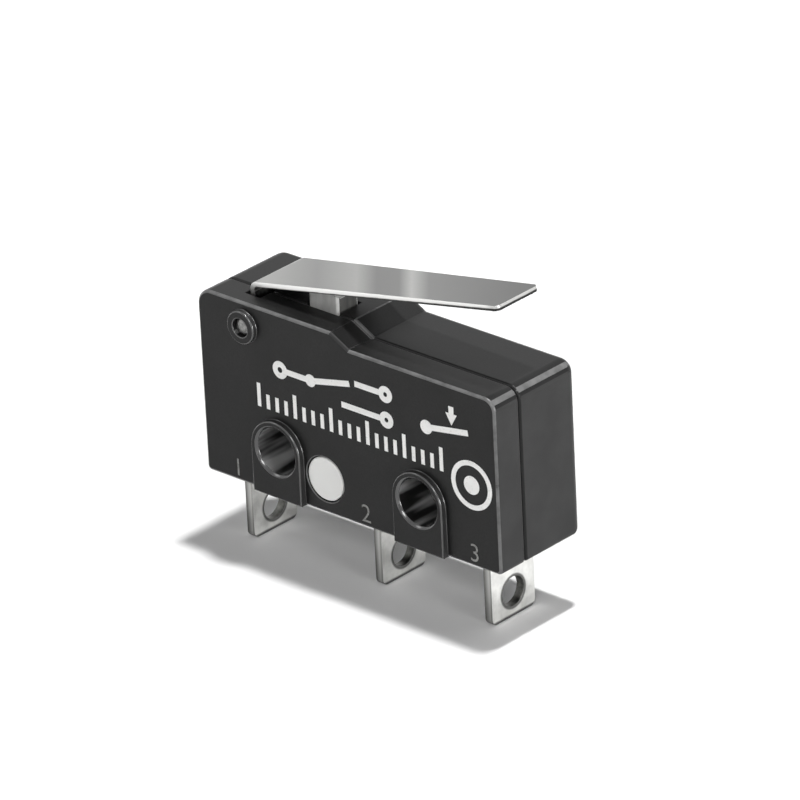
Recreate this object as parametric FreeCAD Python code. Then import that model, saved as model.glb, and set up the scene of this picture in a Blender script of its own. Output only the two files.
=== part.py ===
import FreeCAD, Part
import math
import os

# Subminiature snap switch with a hinged sheet lever, in millimetres.
# X runs along the body from the hinge end to the far end, -Y is the cover side,
# +Z is up. The origin is under the middle of the body, level with the terminal tips.

# Housing, seen from the cover side
body_length = 19.8
body_depth = 6.4
body_height = 10.2
shoulder_start = 9.0
shoulder_run = 1.2
shoulder_drop = 0.65
hinge_corner = 0.9
far_corner = 0.7
foot_corner = 0.25
front_edge = 0.18
rear_edge = 0.5
wall = 0.8
floor_thickness = 1.2
cavity_corner = 0.3
cavity_side_gap = 0.1

# Parting line of the case and the cover, with a locating peg under each mounting hole
parting_relief = 0.12
peg_diameter = 0.6
peg_length = 0.6
peg_gap = 0.03
peg_lead = 0.12

# Mounting holes with their raised pads, one as far from each end: 9.5 apart
hole_inset = 5.15
hole_diameter = 2.5
hole_height = 2.6
hole_wall = 0.6
hole_chamfer = 0.15
pad_height = 0.35
pad_rim = 0.4
pad_edge = 0.1

# Round marker set into the cover
marker_inset = 8.2
marker_height = 1.87
marker_diameter = 2.36
marker_thickness = 0.22
marker_sunk = 0.03
marker_gap = 0.07

# Lever hinge, measured from the hinge end and down from the top
hinge_inset = 3.15
hinge_drop = 1.3
pin_diameter = 0.96
pin_sunk = 0.15
pin_fit = 0.02
boss_diameter = 1.8
boss_height = 0.3
boss_edge = 0.1
hinge_wall = 0.5

# Lever, a bent sheet that stands at an angle when nothing presses it
lever_thickness = 0.3
lever_width = 3.6
lever_tip_width = 3.1
lever_reach = 16.6
lever_rise = 2.0
lever_bend = 0.4
lever_jog = 0.3
lever_curl = 290.0
lever_angle = 10.8
lever_travel = 12.5
lever_tip_corner = 0.3
lever_play = 0.05
lever_side_gap = 0.1
leg_gap_rear = 0.3
leg_gap_front = 0.15
pocket_gap = 0.12

# Plunger, its front measured from the middle of the body
plunger_inset = 6.85
plunger_width = 2.0
plunger_depth = 1.5
plunger_front = 0.9
plunger_crown = 1.8
plunger_gap = 0.1
plunger_edge = 0.15
lever_rest_gap = 0.04
flange_reach = 0.5
flange_thickness = 0.5
flange_gap = 0.02
foot_width = 0.9
foot_gap = 0.02

# Terminals, the common one by the hinge end and the normally closed one by the far end
terminal_drop = 3.9
terminal_width = 3.2
terminal_thickness = 0.5
terminal_bend = 0.5
terminal_corner = 0.35
terminal_gap = 0.03
eye_diameter = 1.6
eye_height = 1.35
common_inset = 1.6
open_offset = 0.5
closed_inset = 2.1
shelf_gap = 0.1
shelf_overhang = 1.0

# Contacts and snap blade, the contacts measured from the far end
contact_inset = 4.7
contact_gap = 0.5
contact_rest_gap = 0.02
contact_head_radius = 0.9
contact_head = 0.25
contact_dome = 4.0
contact_shank_radius = 0.4
contact_tail_radius = 0.6
contact_tail = 0.08
rivet_gap = 0.02
moving_head_radius = 0.85
blade_thickness = 0.12
blade_width = 2.8
blade_overhang = 1.1
blade_corner = 0.3
anchor_inset = 2.7
anchor_width = 2.4
anchor_lug_width = 1.0
anchor_lug_height = 0.45
anchor_gap = 0.04
fulcrum_inset = 8.3
fulcrum_height = 0.8
tongue_width = 0.9
tongue_gap = 0.25
tongue_root_inset = 7.2
tongue_sag = 0.4

# Planes closer than this are one plane
tolerance = 1e-6

# Places that follow from the sizes above
x_hinge_end = -body_length / 2
x_far_end = body_length / 2
y_pads = -body_depth / 2
y_face = y_pads + pad_height
y_parting = -plunger_front - plunger_gap
y_back = body_depth / 2
y_cavity = terminal_width / 2 + cavity_side_gap
z_base = terminal_drop
z_top = z_base + body_height
z_shoulder = z_top - shoulder_drop
z_roof = z_top - wall
hole_places = [x_hinge_end + hole_inset, x_far_end - hole_inset]
z_hole = z_base + hole_height
z_peg = z_base + (hole_height - hole_diameter / 2) / 2
x_pin = x_hinge_end + hinge_inset
z_pin = z_top - hinge_drop
x_plunger = x_hinge_end + plunger_inset
plunger_span = (-plunger_front, plunger_depth - plunger_front)
x_common = x_hinge_end + common_inset
x_open = open_offset
x_closed = x_far_end - closed_inset
x_contact = x_far_end - contact_inset
x_shelf_end = x_contact + shelf_overhang
x_anchor = x_hinge_end + anchor_inset
x_fulcrum = x_hinge_end + fulcrum_inset
x_tongue_root = x_far_end - tongue_root_inset
hole_wall_radius = hole_diameter / 2 + hole_wall
curl_radius = pin_diameter / 2 + lever_play + lever_thickness / 2
pocket_radius = curl_radius + lever_thickness / 2 + pocket_gap
z_shelf = z_hole + hole_wall_radius + shelf_gap + terminal_thickness / 2
z_shelf_top = z_shelf + terminal_thickness / 2
z_open_face = z_shelf_top + contact_head
z_blade = z_open_face + contact_gap + contact_head + blade_thickness / 2
z_blade_top = z_blade + blade_thickness / 2
z_lug_top = z_blade_top + anchor_lug_height
z_closed_face = z_blade_top + contact_head + contact_rest_gap
z_closed_shelf = z_closed_face + contact_head + terminal_thickness / 2

UP = FreeCAD.Vector(0, 0, 1)
ALONG = FreeCAD.Vector(1, 0, 0)
ACROSS = FreeCAD.Vector(0, 1, 0)


def block(x_range, y_range, z_range):
    """Plain block between three pairs of planes."""
    size = [high - low for low, high in (x_range, y_range, z_range)]
    corner = FreeCAD.Vector(x_range[0], y_range[0], z_range[0])
    return Part.makeBox(*size, corner)


def round_bar(radius, x, z, y_range):
    """Round bar that lies across the body, along Y."""
    start = FreeCAD.Vector(x, y_range[0], z)
    return Part.makeCylinder(radius, y_range[1] - y_range[0], start, ACROSS)


def around(middle, width):
    """The two ends of a width that is centred on a place."""
    return (middle - width / 2, middle + width / 2)


def arc_edge(start, middle, end):
    return Part.Arc(start, middle, end).toShape()


def line_edge(start, end):
    return Part.LineSegment(start, end).toShape()


def rounded_prism(corners, y_range):
    """Prism along Y. Each corner of its outline is (x, z, radius)."""
    places = [FreeCAD.Vector(x, y_range[0], z) for x, z, radius in corners]
    ends = []
    edges = []
    for i, (x, z, radius) in enumerate(corners):
        here = places[i]
        back = (places[i - 1] - here).normalize()
        ahead = (places[(i + 1) % len(places)] - here).normalize()
        half_angle = back.getAngle(ahead) / 2
        reach = radius / math.tan(half_angle)
        start = here + back * reach
        end = here + ahead * reach
        if radius > 0:
            inward = (back + ahead).normalize()
            middle = here + inward * (radius / math.sin(half_angle) - radius)
            edges.append(arc_edge(start, middle, end))
        ends.append((start, end))
    for i in range(len(ends)):
        edges.append(line_edge(ends[i - 1][1], ends[i][0]))
    outline = Part.Wire(Part.__sortEdges__(edges))
    return Part.Face(outline).extrude(ACROSS * (y_range[1] - y_range[0]))


def strip(start, heading, moves, thickness, width):
    """Bent sheet strip, centred on Y = 0.

    The middle of its thickness starts at (x, z) and heads at an angle above +X in degrees.
    A move is ("straight", length) or ("bend", radius, turn), with a left turn positive.
    """
    place = FreeCAD.Vector(start[0], -width / 2, start[1])
    angle = math.radians(heading)
    left_side = []
    right_side = []
    for move in moves:
        left = FreeCAD.Vector(-math.sin(angle), 0, math.cos(angle))
        offset = left * (thickness / 2)
        if move[0] == "straight":
            ahead = FreeCAD.Vector(math.cos(angle), 0, math.sin(angle)) * move[1]
            left_side.append(line_edge(place + offset, place + offset + ahead))
            right_side.append(line_edge(place - offset, place - offset + ahead))
            place = place + ahead
        else:
            turn = math.radians(move[2])
            side = math.copysign(1, turn)
            centre = place + left * (move[1] * side)
            for sign, edges in ((1, left_side), (-1, right_side)):
                first = place + offset * sign - centre
                spots = []
                for share in (0, 0.5, 1):
                    spots.append(centre + turned(first, turn * share))
                edges.append(arc_edge(*spots))
            place = centre + turned(place - centre, turn)
            angle += turn
    first_cap = line_edge(left_side[0].Vertexes[0].Point, right_side[0].Vertexes[0].Point)
    last_cap = line_edge(left_side[-1].Vertexes[-1].Point, right_side[-1].Vertexes[-1].Point)
    edges = left_side + right_side + [first_cap, last_cap]
    outline = Part.Wire(Part.__sortEdges__(edges))
    return Part.Face(outline).extrude(ACROSS * width)


def turned(arrow, angle):
    """Arrow in the XZ plane, turned left by an angle in radians."""
    x = arrow.x * math.cos(angle) - arrow.z * math.sin(angle)
    z = arrow.x * math.sin(angle) + arrow.z * math.cos(angle)
    return FreeCAD.Vector(x, arrow.y, z)


def edges_in_plane(solid, y):
    """Edges of a solid that lie in the plane at y."""
    found = []
    for edge in solid.Edges:
        box = edge.BoundBox
        if abs(box.YMin - y) < tolerance and abs(box.YMax - y) < tolerance:
            found.append(edge)
    return found


def upright_edges(solid):
    """Edges of a solid that stand along Z."""
    found = []
    for edge in solid.Edges:
        box = edge.BoundBox
        if box.XLength < tolerance and box.YLength < tolerance:
            found.append(edge)
    return found


def housing_outline(side, roof, floor, corner):
    """Corners of the housing's outline, moved in by its walls.

    A corner size of None keeps the outer ones.
    """
    slope_start = x_hinge_end + shoulder_start
    slope_end = slope_start + shoulder_run
    sizes = [foot_corner, foot_corner, far_corner, 0, 0, hinge_corner]
    if corner is not None:
        sizes = [corner, corner, corner, 0, 0, corner]
    places = [
        (x_hinge_end + side, z_base + floor),
        (x_far_end - side, z_base + floor),
        (x_far_end - side, z_shoulder - roof),
        (slope_end, z_shoulder - roof),
        (slope_start, z_top - roof),
        (x_hinge_end + side, z_top - roof),
    ]
    return [(x, z, size) for (x, z), size in zip(places, sizes)]


def arch(x, radius, y_range):
    """Upright slab with a round head, centred on a mounting hole and standing on the base."""
    slab = block((x - radius, x + radius), y_range, (z_base, z_hole))
    head = round_bar(radius, x, z_hole, y_range)
    return slab.fuse(head).removeSplitter()


def mounting_hole(x, y_range):
    """Through hole with a small chamfer at both mouths."""
    radius = hole_diameter / 2
    hole = round_bar(radius, x, z_hole, y_range)
    for y, sense in ((y_range[0], ACROSS), (y_range[1], ACROSS * -1)):
        mouth = FreeCAD.Vector(x, y, z_hole)
        cone = Part.makeCone(radius + hole_chamfer, radius, hole_chamfer, mouth, sense)
        hole = hole.fuse(cone)
    return hole


def locating_peg(x):
    """Peg with a chamfered tip, which stands on the case and lines the cover up with it."""
    y_tip = y_parting - peg_length
    peg = round_bar(peg_diameter / 2, x, z_peg, (y_tip, y_parting))
    return peg.makeChamfer(peg_lead, edges_in_plane(peg, y_tip))


def peg_socket(x):
    """Blind hole in the cover that takes a locating peg."""
    y_end = y_parting - peg_length - peg_gap
    return round_bar(peg_diameter / 2 + peg_gap, x, z_peg, (y_end, y_parting))


def switch_cavity(y_range):
    """Room for the contacts, left solid round the mounting holes and round the hinge."""
    room = rounded_prism(housing_outline(wall, wall, floor_thickness, cavity_corner), y_range)
    for x in hole_places:
        room = room.cut(arch(x, hole_wall_radius, y_range))
    hinge_block = round_bar(pocket_radius + hinge_wall, x_pin, z_pin, y_range)
    above_lug = block((x_hinge_end, x_far_end), y_range, (z_lug_top + shelf_gap, z_top))
    return room.cut(hinge_block.common(above_lug))


def hinge_pocket(y_range):
    """Round pocket for the lever's curl, with a slot in the top for its leg."""
    curl_room = round_bar(pocket_radius, x_pin, z_pin, y_range)
    rise = z_top - z_pin
    swing_rear = rise * math.tan(math.radians(lever_angle)) + lever_thickness / 2
    swing_front = rise * math.tan(math.radians(lever_travel - lever_angle)) + lever_thickness / 2
    x_range = (x_pin - swing_rear - leg_gap_rear, x_pin + swing_front + leg_gap_front)
    return curl_room.fuse(block(x_range, y_range, (z_pin, z_top + wall)))


def terminal_slots(y_range):
    """Slots in the floor that hold the three terminals."""
    slots = []
    for x in (x_common, x_open, x_closed):
        x_range = around(x, terminal_thickness + 2 * terminal_gap)
        slots.append(block(x_range, y_range, (z_base - wall, z_base + floor_thickness + wall)))
    return slots


def half_lever_gap():
    return lever_width / 2 + lever_side_gap


def make_case():
    """Rear half of the housing, which holds the works."""
    solid = rounded_prism(housing_outline(0, 0, 0, None), (y_parting, y_back))
    solid = solid.makeFillet(rear_edge, edges_in_plane(solid, y_back))
    solid = solid.makeChamfer(parting_relief, edges_in_plane(solid, y_parting))
    guide = block(
        around(x_plunger, plunger_width + 2 * plunger_gap),
        (y_parting, plunger_span[1] + plunger_gap),
        (z_roof - wall, z_top + wall),
    )
    cuts = [
        switch_cavity((y_parting, y_cavity)),
        hinge_pocket((y_parting, half_lever_gap())),
        guide,
        round_bar(pin_diameter / 2 + pin_fit, x_pin, z_pin, (y_parting, y_back)),
    ]
    cuts += terminal_slots((y_parting, terminal_width / 2 + terminal_gap))
    cuts += [mounting_hole(x, (y_pads, y_back)) for x in hole_places]
    return solid.cut(cuts).fuse([locating_peg(x) for x in hole_places])


def make_cover():
    """Front half of the housing, with the raised pads and the hinge boss."""
    solid = rounded_prism(housing_outline(0, 0, 0, None), (y_face, y_parting))
    solid = solid.makeFillet(front_edge, edges_in_plane(solid, y_face))
    solid = solid.makeChamfer(parting_relief, edges_in_plane(solid, y_parting))
    y_root = y_face + front_edge
    raised = []
    for x in hole_places:
        pad = arch(x, hole_diameter / 2 + pad_rim, (y_pads, y_root))
        raised.append(pad.makeFillet(pad_edge, edges_in_plane(pad, y_pads)))
    y_boss = y_face - boss_height
    boss = round_bar(boss_diameter / 2, x_pin, z_pin, (y_boss, y_root))
    raised.append(boss.makeFillet(boss_edge, edges_in_plane(boss, y_boss)))
    solid = solid.fuse(raised).removeSplitter()
    marker_depth = marker_thickness + marker_sunk
    x_marker = x_hinge_end + marker_inset
    z_marker = z_base + marker_height
    marker_radius = marker_diameter / 2 + marker_gap
    cuts = [
        switch_cavity((-y_cavity, y_parting)),
        hinge_pocket((-half_lever_gap(), y_parting)),
        round_bar(pin_diameter / 2 + pin_fit, x_pin, z_pin, (y_pads, y_parting)),
        round_bar(marker_radius, x_marker, z_marker, (y_face, y_face + marker_depth)),
    ]
    cuts += terminal_slots((-terminal_width / 2 - terminal_gap, y_parting))
    cuts += [mounting_hole(x, (y_pads, y_back)) for x in hole_places]
    cuts += [peg_socket(x) for x in hole_places]
    return solid.cut(cuts)


def make_marker():
    """Thin round disc that lies in its recess in the cover."""
    y_front = y_face + marker_sunk
    x = x_hinge_end + marker_inset
    z = z_base + marker_height
    return round_bar(marker_diameter / 2, x, z, (y_front, y_front + marker_thickness))


def make_pin():
    """Hinge pin, a little short of the boss and of the back."""
    y_range = (y_face - boss_height + pin_sunk, y_back - pin_sunk)
    pin = round_bar(pin_diameter / 2, x_pin, z_pin, y_range)
    ends = edges_in_plane(pin, y_range[0]) + edges_in_plane(pin, y_range[1])
    return pin.makeChamfer(boss_edge, ends)


def lever_plan(half_height):
    """Plan of the lever before it is tilted: parallel over the hinge, then tapered to its tip."""
    root = lever_width / 2
    tip = lever_tip_width / 2
    plan = [(-lever_rise, root), (lever_bend, root), (lever_reach, tip)]
    plan += [(x, -y) for x, y in reversed(plan)]
    places = [FreeCAD.Vector(x, y, -half_height) for x, y in plan]
    outline = Part.makePolygon(places + places[:1])
    return Part.Face(outline).extrude(UP * (2 * half_height))


def make_lever():
    """One sheet: a straight arm, a leg bent down through the top, and a curl round the pin."""
    z_arm = lever_rise - lever_thickness / 2
    centres_apart = lever_jog + curl_radius
    z_jog = math.sqrt(centres_apart ** 2 - lever_jog ** 2)
    jog_turn = math.degrees(math.acos(lever_jog / centres_apart))
    moves = [
        ("straight", lever_reach - lever_bend),
        ("bend", lever_bend, 90),
        ("straight", z_arm - lever_bend - z_jog),
        ("bend", lever_jog, -jog_turn),
        ("bend", curl_radius, lever_curl),
    ]
    lever = strip((lever_reach, z_arm), 180, moves, lever_thickness, lever_width)
    lever = lever.common(lever_plan(2 * lever_rise))
    tips = []
    for edge in lever.Edges:
        box = edge.BoundBox
        if box.XMin > lever_reach - tolerance and box.ZLength > lever_thickness / 2:
            tips.append(edge)
    lever = lever.makeFillet(lever_tip_corner, tips)
    lever.rotate(FreeCAD.Vector(0, 0, 0), ACROSS, -lever_angle)
    lever.translate(FreeCAD.Vector(x_pin, 0, z_pin))
    return lever


def crown_height():
    """Height of the middle of the plunger's crown, which lies just under the resting lever."""
    angle = math.radians(lever_angle)
    under = lever_rise - lever_thickness - plunger_crown - lever_rest_gap
    return z_pin + (under + math.sin(angle) * (x_plunger - x_pin)) / math.cos(angle)


def make_plunger():
    """Button with a crowned head, a flange that stops under the roof and a foot on the blade."""
    half = plunger_width / 2
    z_crown = crown_height()
    z_side = z_crown + math.sqrt(plunger_crown ** 2 - half ** 2)
    z_flange = z_roof - flange_gap
    y = plunger_span[0]
    corners = [
        FreeCAD.Vector(x_plunger - half, y, z_flange - flange_thickness / 2),
        FreeCAD.Vector(x_plunger + half, y, z_flange - flange_thickness / 2),
        FreeCAD.Vector(x_plunger + half, y, z_side),
        FreeCAD.Vector(x_plunger - half, y, z_side),
    ]
    crown = FreeCAD.Vector(x_plunger, y, z_crown + plunger_crown)
    edges = [
        line_edge(corners[0], corners[1]),
        line_edge(corners[1], corners[2]),
        arc_edge(corners[2], crown, corners[3]),
        line_edge(corners[3], corners[0]),
    ]
    head = Part.Face(Part.Wire(edges)).extrude(ACROSS * plunger_depth)
    head = head.makeFillet(plunger_edge, upright_edges(head))
    flange = block(
        around(x_plunger, plunger_width + 2 * flange_reach),
        plunger_span,
        (z_flange - flange_thickness, z_flange),
    )
    foot_radius = foot_width / 2
    z_foot = z_blade_top + foot_gap + foot_radius
    foot = block(
        around(x_plunger, foot_width),
        plunger_span,
        (z_foot, z_flange - flange_thickness),
    )
    toe = round_bar(foot_radius, x_plunger, z_foot, plunger_span)
    return head.fuse([flange, foot, toe]).removeSplitter()


def terminal_blade(x, moves):
    """Terminal strip that rises from its tip, with its rounded tip and its wiring eye."""
    solid = strip((x, 0), 90, moves, terminal_thickness, terminal_width)
    corners = []
    for edge in solid.Edges:
        box = edge.BoundBox
        if box.ZMax < tolerance and box.YLength < tolerance:
            corners.append(edge)
    solid = solid.makeFillet(terminal_corner, corners)
    start = FreeCAD.Vector(x - terminal_thickness, 0, eye_height)
    eye = Part.makeCylinder(eye_diameter / 2, 2 * terminal_thickness, start, ALONG)
    return solid.cut(eye)


def rivet_hole(z_range):
    """Hole for a contact rivet through a shelf or the blade."""
    start = FreeCAD.Vector(x_contact, 0, z_range[0])
    return Part.makeCylinder(contact_shank_radius + rivet_gap, z_range[1] - z_range[0], start, UP)


def make_common():
    """Common terminal: its shelf carries the anchor of the blade and the fulcrum of its tongue."""
    run = x_fulcrum - x_common - 2 * terminal_bend
    moves = [
        ("straight", z_shelf - terminal_bend),
        ("bend", terminal_bend, -90),
        ("straight", run),
    ]
    solid = terminal_blade(x_common, moves)
    x_tab = x_fulcrum - terminal_bend
    tab_moves = [
        ("straight", terminal_bend),
        ("bend", terminal_bend, 90),
        ("straight", fulcrum_height - terminal_bend),
    ]
    tab = strip((x_tab - terminal_bend, z_shelf), 0, tab_moves, terminal_thickness, tongue_width)
    x_range = around(x_anchor, terminal_thickness)
    z_seat = z_blade - blade_thickness / 2
    riser = block(x_range, around(0, anchor_width), (z_shelf, z_seat))
    lug = block(x_range, around(0, anchor_lug_width), (z_shelf, z_lug_top))
    return solid.fuse([tab, riser, lug]).removeSplitter()


def make_open():
    """Normally open terminal, with its shelf over the far mounting hole."""
    moves = [
        ("straight", z_shelf - terminal_bend),
        ("bend", terminal_bend, -90),
        ("straight", x_shelf_end - x_open - terminal_bend),
    ]
    return terminal_blade(x_open, moves).cut(rivet_hole((z_base, z_blade)))


def make_closed():
    """Normally closed terminal, with its shelf over the moving contact."""
    moves = [
        ("straight", z_closed_shelf - terminal_bend),
        ("bend", terminal_bend, 90),
        ("straight", x_closed - terminal_bend - x_contact + contact_head_radius),
    ]
    return terminal_blade(x_closed, moves).cut(rivet_hole((z_blade, z_top)))


def contact_rivet(z_face, grip, sense):
    """Fixed contact: a domed head whose face is at z_face, a shank and a headed tail behind the shelf."""
    shank = contact_head + grip
    dome_drop = contact_dome - math.sqrt(contact_dome ** 2 - contact_head_radius ** 2)
    spots = [
        (0, 0),
        (contact_head_radius, dome_drop),
        (contact_head_radius, contact_head),
        (contact_shank_radius, contact_head),
        (contact_shank_radius, shank),
        (contact_tail_radius, shank),
        (contact_tail_radius, shank + contact_tail),
        (0, shank + contact_tail),
    ]
    places = [FreeCAD.Vector(x_contact + r, 0, z_face - sense * depth) for r, depth in spots]
    half_way = contact_head_radius / 2
    half_drop = contact_dome - math.sqrt(contact_dome ** 2 - half_way ** 2)
    middle = FreeCAD.Vector(x_contact + half_way, 0, z_face - sense * half_drop)
    edges = [arc_edge(places[0], middle, places[1])]
    for i in range(1, len(places)):
        edges.append(line_edge(places[i], places[(i + 1) % len(places)]))
    face = Part.Face(Part.Wire(edges))
    return face.revolve(FreeCAD.Vector(x_contact, 0, 0), UP, 360)


def make_moving_contact():
    """Double-headed rivet that the blade carries."""
    heads = []
    z_under = z_blade_top - blade_thickness
    for z in (z_under - contact_head, z_blade_top):
        place = FreeCAD.Vector(x_contact, 0, z)
        heads.append(Part.makeCylinder(moving_head_radius, contact_head, place, UP))
    under = FreeCAD.Vector(x_contact, 0, z_under)
    shank = Part.makeCylinder(contact_shank_radius, blade_thickness, under, UP)
    return heads[0].fuse([heads[1], shank]).removeSplitter()


def make_blade():
    """Snap blade: a flat spring with a window, and a bowed tongue that bears on the fulcrum."""
    x_start = x_anchor - terminal_thickness / 2 - blade_overhang / 2
    x_end = x_contact + blade_overhang
    z_range = around(z_blade, blade_thickness)
    blade = block((x_start, x_end), around(0, blade_width), z_range)
    blade = blade.makeFillet(blade_corner, upright_edges(blade))
    x_tip = x_fulcrum + terminal_thickness / 2 + contact_rest_gap
    window = block(
        (x_fulcrum - terminal_thickness, x_tongue_root),
        around(0, tongue_width + 2 * tongue_gap),
        z_range,
    )
    lug_hole = block(
        around(x_anchor, terminal_thickness + 2 * anchor_gap),
        around(0, anchor_lug_width + 2 * anchor_gap),
        z_range,
    )
    blade = blade.cut([window, lug_hole, rivet_hole(z_range)])
    z_tip = z_shelf + fulcrum_height - blade_thickness / 2
    drop = z_blade - z_tip
    span = x_tongue_root - x_tip
    chord = math.hypot(span, drop)
    half_turn = 2 * math.atan(2 * tongue_sag / chord)
    radius = chord / 2 / math.sin(half_turn)
    heading = 180 + math.degrees(math.atan2(drop, span) + half_turn)
    moves = [("bend", radius, -2 * math.degrees(half_turn))]
    tongue = strip((x_tongue_root, z_blade), heading, moves, blade_thickness, tongue_width)
    root = block((x_tongue_root, x_tongue_root + blade_thickness), around(0, tongue_width), z_range)
    return blade.fuse([tongue, root]).removeSplitter()


nodes = {
    "case": make_case(),
    "cover": make_cover(),
    "marker_disc": make_marker(),
    "hinge_pin": make_pin(),
    "hinge_lever": make_lever(),
    "plunger": make_plunger(),
    "common_terminal": make_common(),
    "open_terminal": make_open(),
    "closed_terminal": make_closed(),
    "open_contact": contact_rivet(z_open_face, terminal_thickness, 1),
    "closed_contact": contact_rivet(z_closed_face, terminal_thickness, -1),
    "moving_contact": make_moving_contact(),
    "snap_blade": make_blade(),
}

os.makedirs("parts", exist_ok=True)
for name, shape in nodes.items():
    shape.exportStep("parts/" + name + ".step")
    print(name, "valid", shape.isValid(), "solids", len(shape.Solids), "volume", round(shape.Volume, 3))
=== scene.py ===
import math

import bmesh
import bpy
from mathutils import Matrix, Vector


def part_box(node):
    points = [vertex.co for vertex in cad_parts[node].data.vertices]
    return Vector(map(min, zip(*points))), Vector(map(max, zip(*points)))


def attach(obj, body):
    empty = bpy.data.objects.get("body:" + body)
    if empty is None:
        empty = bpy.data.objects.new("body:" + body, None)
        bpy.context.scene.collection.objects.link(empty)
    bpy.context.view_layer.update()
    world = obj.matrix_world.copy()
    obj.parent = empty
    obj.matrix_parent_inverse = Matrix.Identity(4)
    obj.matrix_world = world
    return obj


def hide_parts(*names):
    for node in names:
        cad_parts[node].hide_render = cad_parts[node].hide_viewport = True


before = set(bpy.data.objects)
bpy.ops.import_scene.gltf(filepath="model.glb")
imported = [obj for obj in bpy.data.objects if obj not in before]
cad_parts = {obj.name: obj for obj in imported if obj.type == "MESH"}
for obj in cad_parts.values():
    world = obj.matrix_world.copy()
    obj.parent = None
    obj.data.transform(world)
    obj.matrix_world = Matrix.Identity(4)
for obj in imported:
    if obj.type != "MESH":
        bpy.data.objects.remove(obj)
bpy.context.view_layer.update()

# Subminiature snap switch with a hinged sheet lever. Lengths are in metres, and a
# size in millimetres is written as a number times MM.
MM = 0.001

# View of the switch: how the camera stands to it, and how large it shows
VIEW_AZIMUTH = math.radians(43.19)
VIEW_ELEVATION = math.radians(25.8)
VIEW_ROLL = math.radians(-2.85)
VIEW_DISTANCE = 400 * MM
VIEW_PIXELS = 800
PIXELS_PER_MM = 20.087
SENSOR_WIDTH = 36.0
CLIP_RATIO = 100
TARGET = Vector((0, 0, 8.9 * MM))
TARGET_PIXEL = (385.9, 411.73)

# Lamps: name, azimuth and elevation in degrees, distance and size in metres, and level.
# STUDIO_LEVEL is the even light from all round.
LAMPS = [
    ("key", 148, 84, 0.3, 0.02, 1.0),
    ("side", 82, 4, 0.3, 0.1, 0.6),
    ("front", 35, 33, 0.35, 0.1, 0.28),
    ("rim", -55, 41, 0.3, 0.09, 0.08),
    ("corner", 146, 38, 0.3, 0.2, 0.16),
]
STUDIO_LEVEL = 0.05

# Floor. FLOOR_LIFT of its white is its own up to FLOOR_PLAIN from the switch, and all of it
# from FLOOR_WHITE on.
FLOOR_SIZE = 1.5
FLOOR_GAP = 0.01 * MM
FLOOR_LIFT = 0.02
FLOOR_PLAIN = 25 * MM
FLOOR_WHITE = 100 * MM

# Places on the housing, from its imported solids. HOLE_RADIUS is a little more than a mounting
# hole's own, so that the hole's wall lies within it.
CASE_LOW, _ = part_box("case")
COVER_LOW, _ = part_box("cover")
HINGE_END = CASE_LOW.x
BASE = CASE_LOW.z
PAD_HEIGHT = 0.35 * MM
FACE = COVER_LOW.y + PAD_HEIGHT
SLOPE_START = HINGE_END + 9.0 * MM
SLOPE_END = HINGE_END + 10.5 * MM
HOLE_INSET = 5.15 * MM
HOLE_PLACES = [HINGE_END + HOLE_INSET, -HINGE_END - HOLE_INSET]
HOLE_HEIGHT = BASE + 2.6 * MM
HOLE_RADIUS = 1.26 * MM

# The lever: how its arm slopes, its bend's centre along the arm and out from the hinge pin,
# and the radii inside and outside the sheet there
LEVER_LOW, LEVER_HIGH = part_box("hinge_lever")
PIN_LOW, PIN_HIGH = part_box("hinge_pin")
LEVER_TILT = math.radians(10.8)
LEVER_BEND_PLACE = (0.4 * MM, 1.45 * MM)
LEVER_BEND_RADII = (0.25 * MM, 0.55 * MM)

# The lever's soft bands, painted reflections: how far they slant over its width, and their grey
# along it
REFLECTION_SKEW = 0.9
LEVER_REFLECTION_BANDS = [
    (0.0, "A4A4A2"), (0.2, "8A8A89"), (0.36, "A4A4A2"), (0.44, "767675"),
    (0.53, "7A7A79"), (0.58, "B2B2B0"), (0.65, "7E7E7D"), (1.0, "626261"),
]

# The lever's cut edge: the shares of the thickness up to which it is torn, and partly painted
# shade, and from which it is burnished, how much less is torn at the hinge, and where its last
# bit is painted darker as shade
TORN_AND_SHADED_END = 0.42
BURNISHED_START = 0.54
CLEANER_CUT = 0.36
TIP_SHADE_SPAN = (0.8 * MM, 0.3 * MM)

# The terminals: the middle of each strip from the hinge end, half its thickness, the heights over
# which its tip is painted dark as a contact shadow, its eye, and the ring of painted shade round
# the eye.
# EYE_RADIUS is a little more than the eye's own, as above.
TERMINAL_PLACES = {
    "common_terminal": 1.6 * MM,
    "open_terminal": 10.4 * MM,
    "closed_terminal": 17.7 * MM,
}
TERMINAL_HALF = 0.25 * MM
TIP_SHADOW_SPAN = (0.1 * MM, 0.2 * MM)
EYE_HEIGHT = 1.35 * MM
EYE_RADIUS = 0.85 * MM
EYE_SHADE_RING = (EYE_RADIUS + 0.06 * MM, EYE_RADIUS + 0.14 * MM)

# The box that the marker disc fills
MARKER_LOW, MARKER_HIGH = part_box("marker_disc")

# Edges that tools leave on the pieces
MOULDED_EDGE = 0.05 * MM
SHEARED_EDGE = 0.03 * MM
BLADE_EDGE = 0.01 * MM

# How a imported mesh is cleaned: angles of a crease and of a flat place, the gap that is
# closed, and the shortest crease that is broken, as a share of the edge
CREASE_ANGLE = math.radians(8)
FLAT_ANGLE = math.radians(0.3)
MERGE_DISTANCE = 0.0004 * MM
SHORTEST_CREASE = 0.6

# Steps of a turned piece in a full turn
SPIN_STEPS = 64

# How much of a face's normal is along an axis: nearly all of it, half, a part or a trace
SQUARE = 0.97
HALF = 0.5
PARTLY = 0.3
SLIGHTLY = 0.15

# The same at certain places: on the housing's far top corner, on the edge above its slope,
# on a terminal's cut sides and on the lever's cut tip
CORNER_TURN = 0.55
SLOPE_TURN = (0.03, 0.4)
STRIP_TURN = 0.6
TIP_TURN = 0.75

# How far the housing's front edge is rubbed and painted paler as a highlight, and the lever's tip
# is cut
RUBBED_HIGHLIT_DEPTH = 0.25 * MM
TIP_DEPTH = 0.45 * MM

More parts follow.
